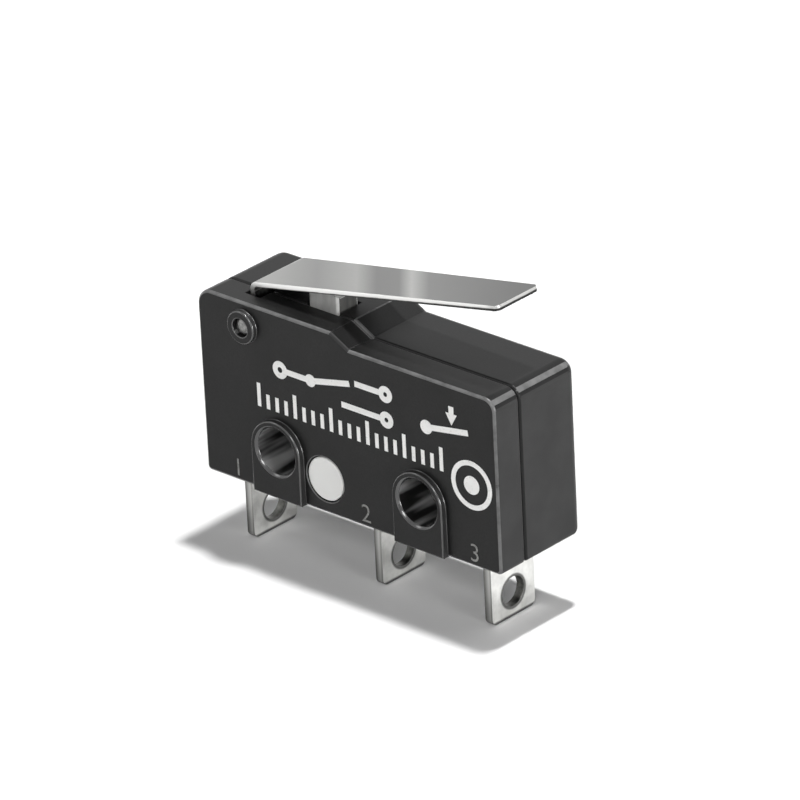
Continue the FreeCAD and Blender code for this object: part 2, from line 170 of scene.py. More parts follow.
# Places in the lists of materials of the housing, the plunger, the lever and a terminal
MOULDED, RUBBED_HIGHLIT, BURNISHED, REFLECTION_STREAK, LIT_SIDE = range(5)
PLAIN, HIGHLIT_CORNER, SHADED_FLANK = range(3)
ROLLED, SHEARED, SHADED_HINGE = range(3)
PLATED, CUT, SHADED_EYE = range(3)

# Print on the cover. It reaches INK_SEAT into the cover, and rings and dots stand at
# RAISED_INK, above the strokes that end in them.
INK_HEIGHT = 0.012 * MM
RAISED_INK = 1.5 * INK_HEIGHT
INK_SEAT = 0.004 * MM
STROKE = 0.32 * MM
SCALE_STROKE = 0.23 * MM
RING_STROKE = 0.27 * MM
RING_SIDES = 40
DOT_SIDES = 32
NUMBER_SIZE = 1.4 * MM
NUMBER_THINNING = 0.012 * MM
NUMBER_PLACES = [(2.2, 0.3), (10.9, 0.3), (18.1, 0.3)]


# Light and camera

def direction(azimuth, elevation):
    """Unit arrow from the switch. Azimuth 0 is in front of the cover, 90 at the far end."""
    flat = math.cos(elevation)
    return Vector((math.sin(azimuth) * flat, -math.cos(azimuth) * flat, math.sin(elevation)))


def make_camera():
    """Camera at the photograph's angle, panned so that the switch stands where it does there."""
    back = direction(VIEW_AZIMUTH, VIEW_ELEVATION)
    right = Vector((math.cos(VIEW_AZIMUTH), math.sin(VIEW_AZIMUTH), 0))
    up = back.cross(right)
    turn = Matrix.Rotation(VIEW_ROLL, 3, -back)
    right, up = turn.inverted() @ right, turn.inverted() @ up
    off_right = (VIEW_PIXELS / 2 - TARGET_PIXEL[0]) / PIXELS_PER_MM * MM
    off_up = (TARGET_PIXEL[1] - VIEW_PIXELS / 2) / PIXELS_PER_MM * MM
    aim = TARGET + right * off_right + up * off_up
    data = bpy.data.cameras.new("camera")
    data.sensor_width = SENSOR_WIDTH
    data.lens = PIXELS_PER_MM / MM * VIEW_DISTANCE / VIEW_PIXELS * SENSOR_WIDTH
    data.clip_start = VIEW_DISTANCE / CLIP_RATIO
    data.clip_end = VIEW_DISTANCE * CLIP_RATIO
    camera = bpy.data.objects.new("camera", data)
    place = Matrix((right, up, back)).transposed().to_4x4()
    place.translation = aim + back * VIEW_DISTANCE
    camera.matrix_world = place
    bpy.context.scene.collection.objects.link(camera)
    bpy.context.scene.camera = camera


def softbox(name, azimuth, elevation, distance, size, level):
    """Square lamp that faces the switch. Level 1 lights a white card that faces it to white."""
    data = bpy.data.lights.new(name, "AREA")
    data.shape = "SQUARE"
    data.size = size
    data.energy = level * math.pi ** 2 * distance ** 2
    lamp = bpy.data.objects.new(name, data)
    back = direction(math.radians(azimuth), math.radians(elevation))
    lamp.location = TARGET + back * distance
    lamp.rotation_mode = "QUATERNION"
    lamp.rotation_quaternion = back.to_track_quat("Z", "Y")
    bpy.context.scene.collection.objects.link(lamp)


def make_world(level):
    """Even studio light, with a plain white surround for the eye, gloss and clear pieces."""
    world = bpy.data.worlds.new("studio")
    world.use_nodes = True
    tree = world.node_tree
    tree.nodes.clear()
    seen = seen_rays(tree, "Is Camera Ray", "Is Glossy Ray", "Is Transmission Ray")
    strength = between(tree, seen, level, 1.0)
    light = add_node(tree, "ShaderNodeBackground", {"Color": (1, 1, 1, 1), "Strength": strength})
    add_node(tree, "ShaderNodeOutputWorld", {"Surface": light.outputs[0]})
    bpy.context.scene.world = world


def make_floor():
    """Plain pale floor under the terminals, white where it is lit."""
    bm = bmesh.new()
    bmesh.ops.create_grid(bm, x_segments=1, y_segments=1, size=FLOOR_SIZE)
    floor = add_piece("floor", bm, [floor_card()])
    floor.location.z = -FLOOR_GAP


# Nodes of materials. The helpers from mapped to seen_rays give back an output that can be
# fed into other nodes

def linear(hex_colour):
    """Linear colour of an sRGB hex value such as 3A3A3A."""
    parts = [int(hex_colour[i:i + 2], 16) / 255 for i in (0, 2, 4)]
    curved = [c / 12.92 if c <= 0.04045 else ((c + 0.055) / 1.055) ** 2.4 for c in parts]
    return (*curved, 1)


def add_node(tree, kind, inputs=None, **settings):
    """Adds a node. An input is given a value, or the output that feeds it."""
    made = tree.nodes.new(kind)
    for name, value in settings.items():
        setattr(made, name, value)
    for name, value in (inputs or {}).items():
        if isinstance(value, bpy.types.NodeSocket):
            tree.links.new(value, made.inputs[name])
        else:
            made.inputs[name].default_value = value
    return made


def mapped(tree, place, **inputs):
    """Coordinates moved, turned or stretched."""
    return add_node(tree, "ShaderNodeMapping", {"Vector": place, **inputs}).outputs[0]


def noise(tree, place, size_mm, detail, **inputs):
    """Noise texture with blots of about a size in millimetres."""
    values = {"Vector": place, "Scale": 1 / (size_mm * MM), "Detail": detail, **inputs}
    return add_node(tree, "ShaderNodeTexNoise", values).outputs[0]


def ramp(tree, value, stops):
    """Colour that follows a value. Stops are its places and colours, in order."""
    made = add_node(tree, "ShaderNodeValToRGB", {"Fac": value})
    elements = made.color_ramp.elements
    for i, (place, colour) in enumerate(stops):
        element = elements[i] if i < 2 else elements.new(place)
        element.position = place
        element.color = linear(colour)
    return made.outputs[0]


def between(tree, value, low, high, start=0.0, end=1.0):
    """Value that goes from low to high while another one goes from start to end."""
    ends = {"Value": value, "From Min": start, "From Max": end, "To Min": low, "To Max": high}
    return add_node(tree, "ShaderNodeMapRange", ends).outputs[0]


def maths(tree, operation, first, second):
    """Result of a calculation with two values."""
    return add_node(tree, "ShaderNodeMath", {0: first, 1: second}, operation=operation).outputs[0]


def vector_maths(tree, operation, first, second=(0, 0, 0)):
    """Result of a calculation with two vectors or colours, or the length of the first."""
    made = add_node(tree, "ShaderNodeVectorMath", {0: first, 1: second}, operation=operation)
    return made.outputs["Value" if operation in ("LENGTH", "DOT_PRODUCT") else "Vector"]


def bumps(tree, height, strength, depth_mm):
    """Normals of small bumps that follow a height."""
    values = {"Height": height, "Strength": strength, "Distance": depth_mm * MM}
    return add_node(tree, "ShaderNodeBump", values).outputs[0]


def seen_rays(tree, *kinds):
    """1 for rays of the named kinds, and 0 for the others."""
    path = add_node(tree, "ShaderNodeLightPath")
    seen = path.outputs[kinds[0]]
    for kind in kinds[1:]:
        seen = maths(tree, "MAXIMUM", seen, path.outputs[kind])
    return seen


def new_material(name, **sockets):
    """Material with one Principled shader, whose constant values are set on its own sockets."""
    material = bpy.data.materials.new(name)
    material.use_nodes = True
    tree = material.node_tree
    tree.nodes.clear()
    place = add_node(tree, "ShaderNodeTexCoord").outputs["Object"]
    values = {key.replace("_", " "): value for key, value in sockets.items()}
    shader = add_node(tree, "ShaderNodeBsdfPrincipled", values)
    add_node(tree, "ShaderNodeOutputMaterial", {"Surface": shader.outputs[0]})
    return material, tree, place, shader


def feed(tree, shader, colour, roughness=None, normal=None):
    """Feeds the shader's colour, and its roughness and normal where they are given."""
    sources = {"Base Color": colour, "Roughness": roughness, "Normal": normal}
    for socket, source in sources.items():
        if source is not None:
            tree.links.new(source, shader.inputs[socket])


def one_noise_material(name, size_mm, detail, tones, gloss=None, bump=None, stretch=None,
                       **sockets):
    """Material whose colour, roughness and bumps all follow one noise texture.

    Tones are the stops of its colour, gloss is its roughness at the noise's two ends, bump is
    the bumps' strength and depth in millimetres, and stretch scales the noise along each axis.
    """
    material, tree, place, shader = new_material(name, **sockets)
    if stretch:
        place = mapped(tree, place, Scale=stretch)
    blots = noise(tree, place, size_mm, detail)
    roughness = between(tree, blots, *gloss) if gloss else None
    normal = bumps(tree, blots, *bump) if bump else None
    feed(tree, shader, ramp(tree, blots, tones), roughness, normal)
    return material


# Materials

def floor_card():
    """Matt white card, which away from the switch shines by itself to meet the surround."""
    material, tree, place, shader = new_material(
        "matt_white_card", Base_Color=linear("F0F0F0"), Roughness=0.9,
        Specular_IOR_Level=0.0, Emission_Color=(1, 1, 1, 1))
    seen = seen_rays(tree, "Is Camera Ray", "Is Glossy Ray")
    reach = vector_maths(tree, "LENGTH", place)
    own = between(tree, reach, FLOOR_LIFT, 1.0, FLOOR_PLAIN, FLOOR_WHITE)
    tree.links.new(maths(tree, "MULTIPLY", seen, own), shader.inputs["Emission Strength"])
    return material


def moulded_polyester():
    """Glass-filled polyester, moulded in a spark-eroded tool: near black, with a fine grain."""
    material, tree, place, shader = new_material("moulded_polyester", Specular_IOR_Level=0.18)
    cloud = noise(tree, place, 2.5, 3.0)
    grain = noise(tree, place, 0.09, 2.0, Roughness=0.6)
    mixed = maths(tree, "MULTIPLY", cloud, grain)
    tone = ramp(tree, mixed, [(0.12, "121212"), (0.42, "1B1B1B")])
    feed(tree, shader, tone, between(tree, cloud, 0.34, 0.44), bumps(tree, grain, 0.2, 0.01))
    return material


def ground_polyester():
    """The same polyester, smoother and greyer: the grey is painted light, on the ends, the pads'
    side walls and the slope's front edge.
    """
    material, tree, place, shader = new_material("ground_polyester", Specular_IOR_Level=0.22)
    cloud = noise(tree, place, 2.0, 4.0)
    grain = noise(tree, place, 0.09, 2.0)
    # Paler tone: painted light on faces lit from the side
    tone = ramp(tree, cloud, [(0.35, "262626"), (0.65, "2E2E2E")])
    feed(tree, shader, tone, between(tree, cloud, 0.36, 0.44), bumps(tree, grain, 0.15, 0.01))
    return material


def rubbed_polyester():
    """The same polyester where its edges have been handled: smoother, and paler partly from wear
    and partly as a painted highlight.
    """
    # Pale tone: partly wear, partly a painted highlight along the edges
    return one_noise_material(
        "rubbed_polyester", 0.6, 4.0, [(0.35, "484848"), (0.65, "626262")],
        gloss=(0.24, 0.36), Specular_IOR_Level=0.5)


def burnished_polyester():
    """The same polyester on the rims of the pads and the boss: still black, but glossy."""
    return one_noise_material(
        "burnished_polyester", 0.5, 3.0, [(0.35, "1E1E1E"), (0.65, "303030")],
        gloss=(0.16, 0.26), Specular_IOR_Level=1.0)


def scuffed_polyester():
    """The same polyester in the mounting holes: long pale streaks that are a painted reflection
    along the wall.
    """
    # Pale streaks: painted reflection inside the holes
    return one_noise_material(
        "scuffed_polyester", 0.8, 2.0, [(0.42, "161616"), (0.6, "9A9A9A")],
        gloss=(0.25, 0.4), stretch=(1, 0.1, 1), Specular_IOR_Level=0.4)


def moulded_acetal():
    """Acetal, moulded and lightly polished by its guide: faintly rubbed along its travel."""
    return one_noise_material(
        "moulded_acetal", 0.4, 3.0, [(0.3, "B8B8B6"), (0.7, "CCCCCA")],
        gloss=(0.3, 0.45), bump=(0.15, 0.01), stretch=(1, 1, 0.3), Specular_IOR_Level=0.45)


def polished_acetal():
    """The same acetal on the plunger's corners: glossier, and paler and brighter as a painted
    highlight.
    """
    # Pale tone: painted highlight on the upright corners
    return one_noise_material(
        "polished_acetal", 0.3, 2.0, [(0.3, "CCCCCA"), (0.7, "E0E0DE")],
        gloss=(0.18, 0.28), Specular_IOR_Level=0.5)


def slid_acetal():
    """The same acetal on the flanks: darker as painted shade, with fine upright scuffs."""
    return one_noise_material(
        "slid_acetal", 0.25, 3.0, [(0.3, "464645"), (0.7, "5A5A58")],
        gloss=(0.35, 0.5), stretch=(1, 1, 0.15), Specular_IOR_Level=0.35)


def rolled_steel_sheet():
    """Stainless spring sheet, cold rolled: fine grain along the lever, and painted reflections in
    soft bands across it.
    """
    material, tree, place, shader = new_material("rolled_steel_sheet", Metallic=1.0)
    # The bands are painted reflections, slanted over the sheet's width
    skewed = vector_maths(tree, "DOT_PRODUCT", place, (1, REFLECTION_SKEW, 0))
    reflection_bands = ramp(tree, between(tree, skewed, 0.0, 1.0, LEVER_LOW.x, LEVER_HIGH.x), LEVER_REFLECTION_BANDS)
    along = mapped(tree, place, Rotation=(0, LEVER_TILT, 0), Scale=(0.03, 1, 1))
    grain = noise(tree, along, 0.07, 4.0)
    streak = between(tree, grain, 0.93, 1.04, 0.3, 0.7)
    colour = vector_maths(tree, "MULTIPLY", reflection_bands, streak)
    feed(tree, shader, colour, between(tree, grain, 0.26, 0.38), bumps(tree, grain, 0.15, 0.005))
    return material


def sheared_steel():
    """Cut edge of the sheet: bright where the punch went in, torn below it towards the tip and
    darker there partly as painted shade, and painted darker at the very tip.
    """
    material, tree, place, shader = new_material("sheared_steel", Metallic=1.0)
    along = Vector((math.cos(LEVER_TILT), 0, math.sin(LEVER_TILT)))
    out = Vector((-math.sin(LEVER_TILT), 0, math.cos(LEVER_TILT)))
    bend = (PIN_LOW + PIN_HIGH) / 2 + along * LEVER_BEND_PLACE[0] + out * LEVER_BEND_PLACE[1]
    from_bend = vector_maths(tree, "SUBTRACT", place, bend)
    up = vector_maths(tree, "DOT_PRODUCT", from_bend, out)
    back = vector_maths(tree, "DOT_PRODUCT", from_bend, -along)
    round_bend = add_node(tree, "ShaderNodeCombineXYZ", {0: up, 1: back}).outputs[0]
    reach = vector_maths(tree, "LENGTH", vector_maths(tree, "MAXIMUM", round_bend))
    across = between(tree, reach, 0.0, 1.0, *LEVER_BEND_RADII)
    uneven = between(tree, noise(tree, place, 0.9, 2.0), -0.06, 0.06)
    x_place = add_node(tree, "ShaderNodeSeparateXYZ", {0: place}).outputs["X"]
    cleaner = between(tree, x_place, CLEANER_CUT, 0.0, LEVER_LOW.x, LEVER_HIGH.x)
    zone = maths(tree, "ADD", across, maths(tree, "ADD", uneven, cleaner))
    # Torn share: partly real tearing, partly painted shade under the burr
    tone = ramp(tree, zone, [(0.0, "2A2A29"), (TORN_AND_SHADED_END, "464645"),
                             (BURNISHED_START, "CCCCCA"), (1.0, "DCDCDA")])
    # Darker over the last bit of the tip: painted shade that damps the lamps' glint there
    tip_shade = between(tree, x_place, 1.0, 0.62,
                   LEVER_HIGH.x - TIP_SHADE_SPAN[0], LEVER_HIGH.x - TIP_SHADE_SPAN[1])
    colour = vector_maths(tree, "MULTIPLY", tone, tip_shade)
    feed(tree, shader, colour, between(tree, zone, 0.55, 0.3, TORN_AND_SHADED_END, BURNISHED_START))
    return material


def greased_steel():
    """The same sheet round the hinge pin, dark and smooth: painted shade inside the bend."""
    return one_noise_material(
        "greased_steel", 0.4, 3.0, [(0.35, "343433"), (0.65, "5A5A58")],
        gloss=(0.25, 0.45), Metallic=1.0)


def silver_plated_brass():
    """Stamped brass with a dull silver plate: pale, clouded, with painted shade at the tip and
    round the eye.
    """
    material, tree, place, shader = new_material("silver_plated_brass", Metallic=1.0)
    lines = noise(tree, mapped(tree, place, Scale=(1, 1, 0.1)), 0.2, 3.0)
    blotch = noise(tree, place, 0.9, 4.0)
    mixed = maths(tree, "ADD", maths(tree, "MULTIPLY", lines, 0.15), blotch)
    tone = ramp(tree, mixed, [(0.42, "D0D0CD"), (0.72, "F0F0ED")])
    height = add_node(tree, "ShaderNodeSeparateXYZ", {0: place}).outputs["Z"]
    # Painted contact shadow, darker towards the tip
    tip_shadow = between(tree, height, 0.16, 1.0, *TIP_SHADOW_SPAN)
    from_eye = mapped(tree, place, Location=(0, 0, -EYE_HEIGHT), Scale=(0, 1, 1))
    # Painted shade in a ring round the eye
    eye_shade = between(tree, vector_maths(tree, "LENGTH", from_eye), 0.22, 1.0, *EYE_SHADE_RING)
    colour = vector_maths(tree, "MULTIPLY", tone, maths(tree, "MULTIPLY", tip_shadow, eye_shade))
    feed(tree, shader, colour, between(tree, blotch, 0.3, 0.5), bumps(tree, mixed, 0.15, 0.006))
    return material


def sheared_brass(node):
    """Cut edge of a terminal's strip: burnished at one side and torn at the other."""
    material, tree, place, shader = new_material("sheared_brass_" + node, Metallic=1.0)
    middle = HINGE_END + TERMINAL_PLACES[node]
    split = add_node(tree, "ShaderNodeSeparateXYZ", {0: place})
    across = between(tree, split.outputs["X"], 0.0, 1.0,
                     middle - TERMINAL_HALF, middle + TERMINAL_HALF)
    streaks = noise(tree, mapped(tree, place, Scale=(1, 1, 0.08)), 0.3, 2.0)
    zone = maths(tree, "ADD", across, between(tree, streaks, -0.12, 0.12))
    tone = ramp(tree, zone, [(0.08, "5E5E5C"), (0.35, "8E8E8C"),
                             (0.68, "B2B2AF"), (0.95, "888886")])
    # Painted contact shadow, darker towards the tip
    tip_shadow = between(tree, split.outputs["Z"], 0.2, 1.0, *TIP_SHADOW_SPAN)
    colour = vector_maths(tree, "MULTIPLY", tone, tip_shadow)
    feed(tree, shader, colour, between(tree, streaks, 0.35, 0.5))
    return material


def tarnished_brass():
    """Wall of a terminal's punched eye, painted dark as the shade inside the hole."""
    return one_noise_material(
        "tarnished_brass", 0.5, 3.0, [(0.35, "3E3E3C"), (0.65, "767672")],
        gloss=(0.4, 0.55), Metallic=1.0)


def drawn_steel():
    """Drawn steel wire, cut and lightly tumbled: a soft shine, and small tool marks."""
    return one_noise_material(
        "drawn_steel", 0.14, 4.0, [(0.3, "545454"), (0.7, "8C8C8A")],
        gloss=(0.25, 0.45), bump=(0.3, 0.01), Metallic=1.0)


def marker_resin():
    """Pale resin, poured and set a little hollow: clouded, and paler towards the rim."""
    material, tree, place, shader = new_material("marker_resin", Specular_IOR_Level=0.4)
    _, radius = round_along_y(MARKER_LOW, MARKER_HIGH)
    centred = mapped(tree, place, Location=-(MARKER_LOW + MARKER_HIGH) / 2 / radius,
                     Scale=(1 / radius, 0, 1 / radius))
    cloud = noise(tree, place, 0.5, 4.0)
    faint = maths(tree, "MULTIPLY", cloud, 0.2)
    mixed = maths(tree, "ADD", vector_maths(tree, "LENGTH", centred), faint)
    tone = ramp(tree, mixed, [(0.75, "C8C8C6"), (0.95, "E0E0DE")])
    feed(tree, shader, tone, between(tree, cloud, 0.4, 0.55), bumps(tree, cloud, 0.15, 0.01))
    return material


def pad_printed_ink():
    """White ink, printed from a soft pad: flat, a little uneven where it takes on the grain."""
    return one_noise_material(
        "pad_printed_ink", 0.12, 3.0, [(0.25, "D0D0CE"), (0.42, "EEEEEC")],
        gloss=(0.5, 0.65), bump=(0.2, 0.004), Specular_IOR_Level=0.3)


def laser_mark():
    """Mark burnt into the polyester by a laser, which foams it: matt and a little ragged."""
    return one_noise_material(
        "laser_mark", 0.1, 4.0, [(0.35, "6E6E6C"), (0.6, "929290")],
        bump=(0.3, 0.006), Specular_IOR_Level=0.2, Roughness=0.75)


def contact_silver():
    """Fine silver on a copper rivet, cold headed: bright, with the small dimples of its die."""
    return one_noise_material(
        "contact_silver", 0.15, 3.0, [(0.3, "CFCFCC"), (0.7, "EFEFEC")],
        gloss=(0.2, 0.35), Metallic=1.0)


def beryllium_copper():
    """Beryllium copper strip, rolled and hardened: reddish gold, with fine lines along it."""
    return one_noise_material(
        "beryllium_copper", 0.08, 3.0, [(0.3, "B9814F"), (0.7, "D9A06C")],
        gloss=(0.22, 0.36), stretch=(0.05, 1, 1), Metallic=1.0)


# Pieces

def add_piece(name, bm, materials):
    """Object made of a finished bmesh."""
    mesh = bpy.data.meshes.new(name)
    bm.to_mesh(mesh)
    bm.free()
    for material in materials:
        mesh.materials.append(material)
    piece = bpy.data.objects.new(name, mesh)
    bpy.context.scene.collection.objects.link(piece)
    return piece


def stand_for(node, bm, materials, body):
    """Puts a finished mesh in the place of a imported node, smooth and with even normals."""
    for face in bm.faces:
        face.smooth = True
    piece = add_piece(node + "_finish", bm, materials)
    even = piece.modifiers.new("even_normals", "WEIGHTED_NORMAL")
    even.mode = "FACE_AREA_WITH_ANGLE"
    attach(piece, body)
    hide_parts(node)


def is_crease(edge, normals):
    """Whether the surface turns at once across an edge, which its corners' exact normals tell."""
    if len(edge.link_loops) != 2:
        return False
    first, second = edge.link_loops
    ahead = [first, first.link_loop_next]
    back = [second, second.link_loop_next]
    if first.vert is second.vert:
        pairs = zip(ahead, back)
    else:
        pairs = zip(ahead, reversed(back))
    return any(a[normals].angle(b[normals], 0) > CREASE_ANGLE for a, b in pairs)


def merged_copy(name):
    """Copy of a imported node's mesh with whole faces, its creases marked as seams."""
    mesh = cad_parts[name].data.copy()
    exact = mesh.attributes.new("exact_normal", "FLOAT_VECTOR", "CORNER")
    exact.data.foreach_set("vector", [v for corner in mesh.corner_normals for v in corner.vector])
    bm = bmesh.new()
    bm.from_mesh(mesh)
    bpy.data.meshes.remove(mesh)
    bmesh.ops.remove_doubles(bm, verts=bm.verts, dist=MERGE_DISTANCE)
    normals = bm.loops.layers.float_vector["exact_normal"]
    for edge in bm.edges:
        edge.seam = is_crease(edge, normals)
    bmesh.ops.dissolve_limit(bm, angle_limit=FLAT_ANGLE, verts=bm.verts, edges=bm.edges,
                             delimit={"SEAM"})
    bm.loops.layers.float_vector.remove(bm.loops.layers.float_vector["exact_normal"])
    return bm


def finish_node(name, body, materials, edge, zone=None):
    """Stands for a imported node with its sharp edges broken. It keeps inside the node's box."""
    bm = merged_copy(name)
    creases = [e for e in bm.edges if e.seam and e.calc_length() > SHORTEST_CREASE * edge]
    bmesh.ops.bevel(bm, geom=creases, offset=edge, offset_type="OFFSET", segments=2, profile=0.5,
                    affect="EDGES", clamp_overlap=False, material=-1)
    low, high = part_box(name)
    for vert in bm.verts:
        vert.co = [min(max(c, a), b) for c, a, b in zip(vert.co, low, high)]
    bm.normal_update()
    if zone:
        for face in bm.faces:
            face.material_index = zone(face)
    stand_for(name, bm, materials, body)


# Zones: which of a piece's materials a face of it has, by its place and how it is turned

def hole_reach(place):
    """How far a place is from the axis of the nearer mounting hole."""
    return min(math.hypot(place.x - x, place.z - HOLE_HEIGHT) for x in HOLE_PLACES)


def is_convex(face):
    """Whether the surface falls away over a face's edges more than it rises."""
    return sum(e.calc_face_angle_signed(0) for e in face.edges if len(e.link_faces) == 2) > 0


def housing_zone(face):
    """Painted reflection streaks in the mounting holes, glossy rims on the front, and ends, pad
    walls and edges painted paler as light and highlights.
    """
    place = face.calc_center_median_weighted()
    turn = face.normal
    if hole_reach(place) < HOLE_RADIUS and abs(turn.y) < HALF:
        return REFLECTION_STREAK
    if place.y < FACE - INK_HEIGHT and turn.y > -SQUARE:
        # Pads' side walls painted paler as lit
        return LIT_SIDE if abs(turn.y) < PARTLY else BURNISHED
    if abs(turn.x) > SQUARE and abs(place.x) > abs(HINGE_END) - MOULDED_EDGE:
        # Ends painted paler as lit from the side
        return LIT_SIDE
    on_slope = SLOPE_START < place.x < SLOPE_END and turn.z > SLIGHTLY
    # Front edge painted paler as a highlight, and lit where it meets the slope
    if FACE < place.y < FACE + RUBBED_HIGHLIT_DEPTH and -SQUARE < turn.y < -SLIGHTLY:
        return LIT_SIDE if on_slope else RUBBED_HIGHLIT
    if not is_convex(face):
        return MOULDED
    # Far corner and the slope's edges painted paler as highlights
    at_far_corner = turn.x > CORNER_TURN and turn.z > CORNER_TURN
    at_slope_start = abs(place.x - SLOPE_START) < 2 * MOULDED_EDGE
    above_slope = at_slope_start and SLOPE_TURN[0] < turn.x < SLOPE_TURN[1] and turn.z > HALF
    beside_slope = on_slope and place.y < 0 and SLIGHTLY < abs(turn.y) < SQUARE
    return RUBBED_HIGHLIT if at_far_corner or above_slope or beside_slope else MOULDED


def plunger_zone(face):
    """Plain front, back and crown, upright corners painted with a highlight, and flanks painted
    with shade.
    """
    if abs(face.normal.z) > HALF or abs(face.normal.y) > SQUARE:
        return PLAIN
    # Flanks facing the ends: painted shade; the other upright faces: painted highlight
    return SHADED_FLANK if abs(face.normal.x) > SQUARE else HIGHLIT_CORNER


def lever_zone(face):
    """Rolled sheet, its cut sides and tip, and the inside of its hinge, painted dark as shade."""
    place = face.calc_center_median()
    turn = face.normal
    if abs(turn.y) > HALF:
        return SHEARED
    from_pin = place - (PIN_LOW + PIN_HIGH) / 2
    # Inside of the bend: painted shade
    if from_pin.x < LEVER_BEND_PLACE[0] and from_pin.z < LEVER_BEND_PLACE[1] and turn.x > PARTLY:
        return SHADED_HINGE
    return SHEARED if place.x > LEVER_HIGH.x - TIP_DEPTH and abs(turn.z) < TIP_TURN else ROLLED


def terminal_zone(face):
    """Plated strip, its cut sides and tip, and the wall of its eye, painted dark as shade."""
    place = face.calc_center_median()
    cut_below = place.z < BASE and abs(face.normal.x) < STRIP_TURN
    # The eye's wall takes painted shade
    if cut_below and Vector((place.y, place.z - EYE_HEIGHT)).length < EYE_RADIUS:
        return SHADED_EYE
    return CUT if cut_below or abs(face.normal.y) > HALF else PLATED


# Turned pieces

def round_along_y(low, high):
    """Centre and radius of a round piece along Y that fills a box."""
    return Vector(((low.x + high.x) / 2, 0, (low.z + high.z) / 2)), (high.x - low.x) / 2


def make_marker(material):
    """Resin disc with a rounded rim and a shallow hollow."""
    centre, radius = round_along_y(MARKER_LOW, MARKER_HIGH)
    front, back = MARKER_LOW.y, MARKER_HIGH.y
    rim = 0.05 * MM
    hollow = 0.03 * MM
    profile = [
        (0, front + hollow),
        (radius * 0.55, front + hollow * 0.7),
        (radius - 3 * rim, front + rim * 0.3),
        (radius - 1.5 * rim, front),
        (radius - rim * 0.5, front + rim * 0.25),
        (radius, front + rim),
        (radius, back),
        (0, back),
    ]
    spin_piece("marker_disc", profile, centre, material, "housing")


def make_pin(material):
    """Hinge pin with slightly domed ends."""
    centre, radius = round_along_y(PIN_LOW, PIN_HIGH)
    dome = 0.1 * MM
    end = [(0, 0.0), (0.35, 0.06), (0.62, 0.22), (0.82, 0.5), (0.94, 0.8), (1, 1.3)]
    profile = [(radius * r, PIN_LOW.y + dome * y) for r, y in end]
    profile += [(radius * r, PIN_HIGH.y - dome * y) for r, y in reversed(end)]
    spin_piece("hinge_pin", profile, centre, material, "housing")


def spin_piece(node, profile, centre, material, body):
    """Turned piece about an axis along Y. Its profile is (radius, y) from axis to axis."""
    bm = bmesh.new()
    verts = [bm.verts.new(centre + Vector((r, y, 0))) for r, y in profile]
    edges = [bm.edges.new(pair) for pair in zip(verts, verts[1:])]
    bmesh.ops.spin(bm, geom=verts + edges, cent=centre, axis=(0, 1, 0), angle=math.tau,
                   steps=SPIN_STEPS, use_merge=True)
    bmesh.ops.remove_doubles(bm, verts=bm.verts, dist=MERGE_DISTANCE)
    bmesh.ops.recalc_face_normals(bm, faces=bm.faces)
    stand_for(node, bm, [material], body)


# Print. Places on the cover are (x from the hinge end, z above the base), in millimetres

def on_cover(x, z):
    """Point on the cover's flat face."""
    return Vector((HINGE_END + x * MM, FACE, BASE + z * MM))


def ink_bar(bm, start, end, width=STROKE):
    """Straight stroke of ink. Rings and dots stand a little higher where they cross it."""
    a, b = on_cover(*start), on_cover(*end)
    along = (b - a).normalized()
    across = along.cross(Vector((0, 1, 0)))
    middle = (a + b) / 2 + Vector((0, (INK_SEAT - INK_HEIGHT) / 2, 0))
    size = Matrix.Diagonal(((b - a).length, INK_HEIGHT + INK_SEAT, width, 1))
    turn = Matrix((along, Vector((0, 1, 0)), across)).transposed().to_4x4()
    bmesh.ops.create_cube(bm, size=1, matrix=Matrix.Translation(middle) @ turn @ size)


def ink_ring(bm, centre, radius, width=STROKE):
    """Ring of ink."""
    both = set()
    for reach in (radius * MM - width, radius * MM):
        both.update(bmesh.ops.create_circle(bm, segments=RING_SIDES, radius=reach)["verts"])
    rims = [e for e in bm.edges if e.verts[0] in both and e.verts[1] in both]
    raise_ink(bm, bmesh.ops.bridge_loops(bm, edges=rims)["faces"], centre)


def ink_disc(bm, centre, radius, sides=DOT_SIDES, turn=0.0):
    """Filled dot of ink, or a polygon with few sides, turned about its middle."""
    made = bmesh.ops.create_circle(bm, segments=sides, radius=radius * MM, cap_ends=True,
                                   matrix=Matrix.Rotation(turn, 4, "Z"))["verts"]
    raise_ink(bm, list({f for v in made for f in v.link_faces}), centre)


def raise_ink(bm, faces, centre):
    """Gives flat ink faces their thickness and stands them on the cover."""
    raised = bmesh.ops.extrude_face_region(bm, geom=faces)["geom"]
    top = [g for g in raised if isinstance(g, bmesh.types.BMVert)]
    bmesh.ops.translate(bm, verts=top, vec=(0, 0, RAISED_INK + INK_SEAT))
    verts = list({v for f in faces for v in f.verts} | set(top))
    seat = on_cover(*centre) + Vector((0, INK_SEAT, 0))
    bmesh.ops.transform(bm, matrix=upright(seat), verts=verts)


def upright(place):
    """Matrix that stands a flat shape up at a place, so that it faces the front."""
    return Matrix.Translation(place) @ Matrix.Rotation(math.pi / 2, 4, "X")


def print_piece(name, bm, material):
    """Makes one print on the cover a piece of the housing."""
    bmesh.ops.recalc_face_normals(bm, faces=bm.faces)
    piece = add_piece(name, bm, [material])
    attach(piece, "housing")


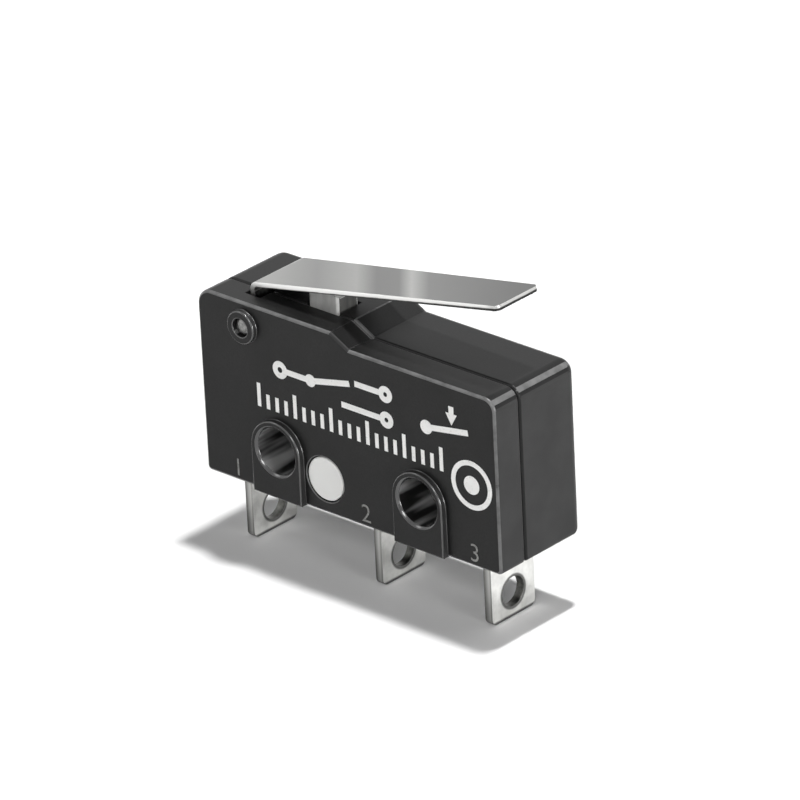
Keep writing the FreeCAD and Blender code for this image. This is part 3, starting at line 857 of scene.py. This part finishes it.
def print_changeover(material):
    """Sign of a changeover contact: one way in, a moving arm and two ways out."""
    bm = bmesh.new()
    z_low, z_mid, z_high = 6.45, 7.15, 7.85
    ink_ring(bm, (5.5, z_mid), 0.48)
    ink_bar(bm, (5.95, z_mid), (7.5, z_mid))
    ink_disc(bm, (7.55, z_mid), 0.34)
    ink_bar(bm, (7.6, z_mid), (10.2, z_high - 0.12))
    ink_bar(bm, (10.55, z_high), (12.15, z_high))
    ink_bar(bm, (9.6, z_low), (12.15, z_low))
    ink_ring(bm, (12.6, z_high), 0.45)
    ink_ring(bm, (12.6, z_low), 0.45)
    print_piece("changeover_sign", bm, material)


def print_scale(material):
    """Plain graduated scale with every fourth line longer."""
    bm = bmesh.new()
    x, z, pitch, count = 3.95, 4.7, 0.61, 21
    short, tall = 0.8, 1.3
    for i in range(count):
        height = tall if i % 4 == 0 else short
        ink_bar(bm, (x + i * pitch, z), (x + i * pitch, z + height), SCALE_STROKE)
    print_piece("scale", bm, material)


def print_press_sign(material):
    """Sign of the lever: an arrow that presses a slanted arm on its pivot."""
    bm = bmesh.new()
    ink_disc(bm, (15.25, 6.85), 0.38)
    ink_bar(bm, (15.25, 6.85), (18.0, 7.3))
    ink_disc(bm, (16.95, 7.85), 0.42, sides=3, turn=math.pi)
    ink_bar(bm, (16.95, 7.9), (16.95, 8.45))
    print_piece("press_sign", bm, material)


def print_ring_sign(material):
    """Plain ring with a dot."""
    bm = bmesh.new()
    ink_ring(bm, (18.1, 4.5), 1.33, RING_STROKE)
    ink_disc(bm, (18.1, 4.5), 0.5)
    print_piece("ring_sign", bm, material)


def print_numbers(material):
    """Plain numbers 1, 2 and 3 over the three terminals, thinner than the print."""
    for number, (x, z) in enumerate(NUMBER_PLACES, start=1):
        text = bpy.data.curves.new("number", "FONT")
        text.body = str(number)
        text.size = NUMBER_SIZE
        text.align_x = "CENTER"
        text.extrude = (INK_HEIGHT + INK_SEAT) / 2
        text.offset = -NUMBER_THINNING
        carrier = bpy.data.objects.new("number", text)
        mesh = bpy.data.meshes.new_from_object(carrier)
        bpy.data.objects.remove(carrier)
        bm = bmesh.new()
        bm.from_mesh(mesh)
        bpy.data.meshes.remove(mesh)
        middle = Vector((0, (INK_SEAT - INK_HEIGHT) / 2, 0))
        bmesh.ops.transform(bm, matrix=upright(on_cover(x, z) + middle), verts=bm.verts)
        bmesh.ops.remove_doubles(bm, verts=bm.verts, dist=MERGE_DISTANCE)
        print_piece(f"number_{number}", bm, material)


make_camera()
make_world(STUDIO_LEVEL)
for lamp in LAMPS:
    softbox(*lamp)
make_floor()

black = [moulded_polyester(), rubbed_polyester(), burnished_polyester(), scuffed_polyester(),
         ground_polyester()]
steel = [rolled_steel_sheet(), sheared_steel(), greased_steel()]
acetal = [moulded_acetal(), polished_acetal(), slid_acetal()]
strip, eye = silver_plated_brass(), tarnished_brass()
silver = [contact_silver()]
finish_node("case", "housing", black, MOULDED_EDGE, housing_zone)
finish_node("cover", "housing", black, MOULDED_EDGE, housing_zone)
finish_node("hinge_lever", "lever", steel, SHEARED_EDGE, lever_zone)
finish_node("plunger", "button", acetal, MOULDED_EDGE, plunger_zone)
for node in TERMINAL_PLACES:
    plate = [strip, sheared_brass(node), eye]
    finish_node(node, "housing", plate, SHEARED_EDGE, terminal_zone)
for node in ("open_contact", "closed_contact"):
    finish_node(node, "housing", silver, SHEARED_EDGE)
finish_node("moving_contact", "changeover", silver, SHEARED_EDGE)
finish_node("snap_blade", "changeover", [beryllium_copper()], BLADE_EDGE)
make_marker(marker_resin())
make_pin(drawn_steel())

ink = pad_printed_ink()
print_changeover(ink)
print_scale(ink)
print_press_sign(ink)
print_ring_sign(ink)
print_numbers(laser_mark())

scene = bpy.context.scene
scene.view_settings.view_transform = "Standard"
